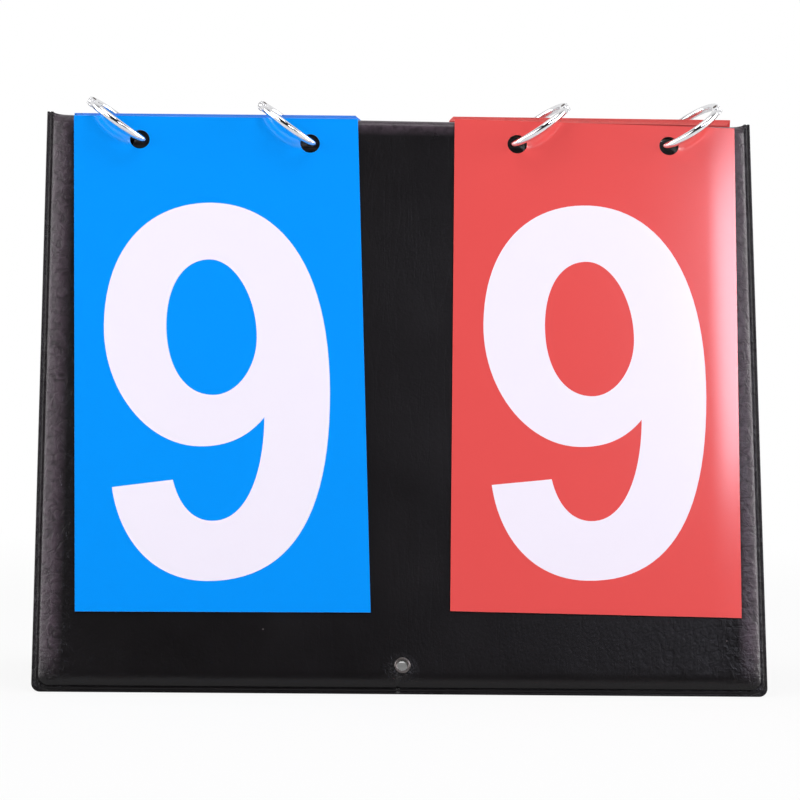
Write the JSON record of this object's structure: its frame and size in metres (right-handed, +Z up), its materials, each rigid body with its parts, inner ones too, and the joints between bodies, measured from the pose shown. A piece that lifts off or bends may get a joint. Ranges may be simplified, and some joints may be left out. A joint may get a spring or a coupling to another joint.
{
  "type": "flip scoreboard",
  "caption": "Tabletop flip scoreboard: a folding padded A-frame with two packs of score leaves that turn over on book rings.",
  "frame": {"origin": "floor level, under the fold, midway across the board", "axes": "+X to the right as seen from the front, +Y to the back, +Z up"},
  "size_m": [0.21, 0.091, 0.1734],
  "materials": {
    "leatherette": "fine-grained black leatherette, semi-gloss",
    "greyboard": "plain greyboard",
    "foam": "thin foam sheet",
    "chrome": "polished chrome plate",
    "nickel": "nickel-plated brass",
    "blue_plastic": "glossy blue vinyl sheet",
    "red_plastic": "glossy red vinyl sheet"
  },
  "bodies": {
    "front_panel": {"front_skin": "leatherette", "front_board": "greyboard", "front_pad": "foam", "front_lining": "leatherette", "front_eyelet": "nickel"},
    "back_panel": {"back_skin": "leatherette", "back_board": "greyboard", "back_pad": "foam", "back_lining": "leatherette", "back_eyelet": "nickel"},
    "fold_strip": {"fold_strip": "leatherette"},
    "blue_leaf_0": {"blue_leaf_0": "blue_plastic"},
    "blue_leaf_1": {"blue_leaf_1": "blue_plastic"},
    "blue_leaf_2": {"blue_leaf_2": "blue_plastic"},
    "blue_leaf_3": {"blue_leaf_3": "blue_plastic"},
    "blue_leaf_4": {"blue_leaf_4": "blue_plastic"},
    "blue_leaf_5": {"blue_leaf_5": "blue_plastic"},
    "blue_leaf_6": {"blue_leaf_6": "blue_plastic"},
    "blue_leaf_7": {"blue_leaf_7": "blue_plastic"},
    "blue_leaf_8": {"blue_leaf_8": "blue_plastic"},
    "blue_leaf_9": {"blue_leaf_9": "blue_plastic"},
    "red_leaf_0": {"red_leaf_0": "red_plastic"},
    "red_leaf_1": {"red_leaf_1": "red_plastic"},
    "red_leaf_2": {"red_leaf_2": "red_plastic"},
    "red_leaf_3": {"red_leaf_3": "red_plastic"},
    "red_leaf_4": {"red_leaf_4": "red_plastic"},
    "red_leaf_5": {"red_leaf_5": "red_plastic"},
    "red_leaf_6": {"red_leaf_6": "red_plastic"},
    "red_leaf_7": {"red_leaf_7": "red_plastic"},
    "red_leaf_8": {"red_leaf_8": "red_plastic"},
    "red_leaf_9": {"red_leaf_9": "red_plastic"},
    "blue_left_hoop": {"blue_left_ring_hoop": "chrome", "blue_left_ring_pin": "chrome"},
    "blue_left_gate": {"blue_left_ring_gate": "chrome"},
    "blue_right_hoop": {"blue_right_ring_hoop": "chrome", "blue_right_ring_pin": "chrome"},
    "blue_right_gate": {"blue_right_ring_gate": "chrome"},
    "red_left_hoop": {"red_left_ring_hoop": "chrome", "red_left_ring_pin": "chrome"},
    "red_left_gate": {"red_left_ring_gate": "chrome"},
    "red_right_hoop": {"red_right_ring_hoop": "chrome", "red_right_ring_pin": "chrome"},
    "red_right_gate": {"red_right_ring_gate": "chrome"}
  },
  "joints": [
    {"name": "panel_fold", "type": "hinge", "parent": "front_panel", "child": "back_panel", "pos_m": [0, 0, 0.1632], "axis": [1, 0, 0], "range_deg": [-30, 0]},
    {"name": "fold_strip_turn", "type": "hinge", "parent": "front_panel", "child": "fold_strip", "pos_m": [0, 0, 0.1632], "axis": [1, 0, 0], "range_deg": [-15, 0]},
    {"name": "blue_leaf_9_lift", "type": "hinge", "parent": "front_panel", "child": "blue_leaf_9", "pos_m": [0, -0.0035, 0.1657], "axis": [-1, 0, 0], "range_deg": [0, 90]},
    {"name": "red_leaf_9_lift", "type": "hinge", "parent": "front_panel", "child": "red_leaf_9", "pos_m": [0, -0.004, 0.16645], "axis": [-1, 0, 0], "range_deg": [0, 90]},
    {"name": "blue_left_ring_raise", "type": "hinge", "parent": "fold_strip", "child": "blue_left_hoop", "pos_m": [-0.07666, -0.00469, 0.15903], "axis": [0, 0.9888, 0.1491], "range_deg": [0, 57]},
    {"name": "blue_left_gate_open", "type": "hinge", "parent": "blue_left_hoop", "child": "blue_left_gate", "pos_m": [-0.09169, -0.00275, 0.16996], "axis": [0.5736, -0.1221, 0.81], "range_deg": [0, 60]},
    {"name": "blue_right_ring_raise", "type": "hinge", "parent": "fold_strip", "child": "blue_right_hoop", "pos_m": [-0.02636, -0.00478, 0.15871], "axis": [0, 0.9879, 0.1553], "range_deg": [0, 57]},
    {"name": "blue_right_gate_open", "type": "hinge", "parent": "blue_right_hoop", "child": "blue_right_gate", "pos_m": [-0.04133, -0.00282, 0.16963], "axis": [0.5736, -0.1272, 0.8092], "range_deg": [0, 60]},
    {"name": "red_left_ring_raise", "type": "hinge", "parent": "fold_strip", "child": "red_left_hoop", "pos_m": [0.0337, -0.00453, 0.15962], "axis": [0, -0.9822, -0.1877], "range_deg": [0, 57]},
    {"name": "red_left_gate_open", "type": "hinge", "parent": "red_left_hoop", "child": "red_left_gate", "pos_m": [0.04882, -0.00321, 0.17066], "axis": [0.5736, 0.1537, -0.8046], "range_deg": [0, 60]},
    {"name": "red_right_ring_raise", "type": "hinge", "parent": "fold_strip", "child": "red_right_hoop", "pos_m": [0.0792, -0.00445, 0.15993], "axis": [0, -0.9701, -0.2427], "range_deg": [0, 57]},
    {"name": "red_right_gate_open", "type": "hinge", "parent": "red_right_hoop", "child": "red_right_gate", "pos_m": [0.09438, -0.00385, 0.17103], "axis": [0.5736, 0.1988, -0.7947], "range_deg": [0, 60]},
    {"name": "blue_leaf_0_hang", "type": "hinge", "parent": "fold_strip", "child": "blue_leaf_0", "pos_m": [0, 0.00728, 0.16072], "axis": [1, 0, 0], "range_deg": [-15, 0]},
    {"name": "blue_leaf_1_lift", "type": "hinge", "parent": "blue_leaf_0", "child": "blue_leaf_1", "pos_m": [0, 0.0025, 0.1662], "axis": [1, 0, 0], "range_deg": [0, 5]},
    {"name": "blue_leaf_2_lift", "type": "hinge", "parent": "blue_leaf_1", "child": "blue_leaf_2", "pos_m": [0, 0.0025, 0.1662], "axis": [1, 0, 0], "range_deg": [0, 5]},
    {"name": "blue_leaf_3_lift", "type": "hinge", "parent": "blue_leaf_2", "child": "blue_leaf_3", "pos_m": [0, 0.0025, 0.1662], "axis": [1, 0, 0], "range_deg": [0, 5]},
    {"name": "blue_leaf_4_lift", "type": "hinge", "parent": "blue_leaf_3", "child": "blue_leaf_4", "pos_m": [0, 0.0025, 0.1662], "axis": [1, 0, 0], "range_deg": [0, 5]},
    {"name": "blue_leaf_5_lift", "type": "hinge", "parent": "blue_leaf_4", "child": "blue_leaf_5", "pos_m": [0, 0.0025, 0.1662], "axis": [1, 0, 0], "range_deg": [0, 5]},
    {"name": "blue_leaf_6_lift", "type": "hinge", "parent": "blue_leaf_5", "child": "blue_leaf_6", "pos_m": [0, 0.0025, 0.1662], "axis": [1, 0, 0], "range_deg": [0, 5]},
    {"name": "blue_leaf_7_lift", "type": "hinge", "parent": "blue_leaf_6", "child": "blue_leaf_7", "pos_m": [0, 0.0025, 0.1662], "axis": [1, 0, 0], "range_deg": [0, 5]},
    {"name": "blue_leaf_8_lift", "type": "hinge", "parent": "blue_leaf_7", "child": "blue_leaf_8", "pos_m": [0, 0.0025, 0.1662], "axis": [1, 0, 0], "range_deg": [0, 5]},
    {"name": "red_leaf_0_hang", "type": "hinge", "parent": "fold_strip", "child": "red_leaf_0", "pos_m": [0, 0.00686, 0.16227], "axis": [1, 0, 0], "range_deg": [-15, 0]},
    {"name": "red_leaf_1_lift", "type": "hinge", "parent": "red_leaf_0", "child": "red_leaf_1", "pos_m": [0, 0.001, 0.1677], "axis": [1, 0, 0], "range_deg": [0, 5]},
    {"name": "red_leaf_2_lift", "type": "hinge", "parent": "red_leaf_1", "child": "red_leaf_2", "pos_m": [0, 0.001, 0.1677], "axis": [1, 0, 0], "range_deg": [0, 5]},
    {"name": "red_leaf_3_lift", "type": "hinge", "parent": "red_leaf_2", "child": "red_leaf_3", "pos_m": [0, 0.001, 0.1677], "axis": [1, 0, 0], "range_deg": [0, 5]},
    {"name": "red_leaf_4_lift", "type": "hinge", "parent": "red_leaf_3", "child": "red_leaf_4", "pos_m": [0, 0.001, 0.1677], "axis": [1, 0, 0], "range_deg": [0, 5]},
    {"name": "red_leaf_5_lift", "type": "hinge", "parent": "red_leaf_4", "child": "red_leaf_5", "pos_m": [0, 0.001, 0.1677], "axis": [1, 0, 0], "range_deg": [0, 5]},
    {"name": "red_leaf_6_lift", "type": "hinge", "parent": "red_leaf_5", "child": "red_leaf_6", "pos_m": [0, 0.001, 0.1677], "axis": [1, 0, 0], "range_deg": [0, 5]},
    {"name": "red_leaf_7_lift", "type": "hinge", "parent": "red_leaf_6", "child": "red_leaf_7", "pos_m": [0, 0.001, 0.1677], "axis": [1, 0, 0], "range_deg": [0, 5]},
    {"name": "red_leaf_8_lift", "type": "hinge", "parent": "red_leaf_7", "child": "red_leaf_8", "pos_m": [0, 0.001, 0.1677], "axis": [1, 0, 0], "range_deg": [0, 5]}
  ],
  "couplings": [
    {"joint": "fold_strip_turn", "follows": "panel_fold", "ratio": 0.5},
    {"joint": "blue_leaf_0_hang", "follows": "panel_fold", "ratio": 0.5},
    {"joint": "red_leaf_0_hang", "follows": "panel_fold", "ratio": 0.5},
    {"joint": "blue_left_ring_raise", "follows": "blue_leaf_9_lift", "ratio": 0.63333},
    {"joint": "blue_right_ring_raise", "follows": "blue_leaf_9_lift", "ratio": 0.63333},
    {"joint": "red_left_ring_raise", "follows": "red_leaf_9_lift", "ratio": 0.63333},
    {"joint": "red_right_ring_raise", "follows": "red_leaf_9_lift", "ratio": 0.63333}
  ]
}
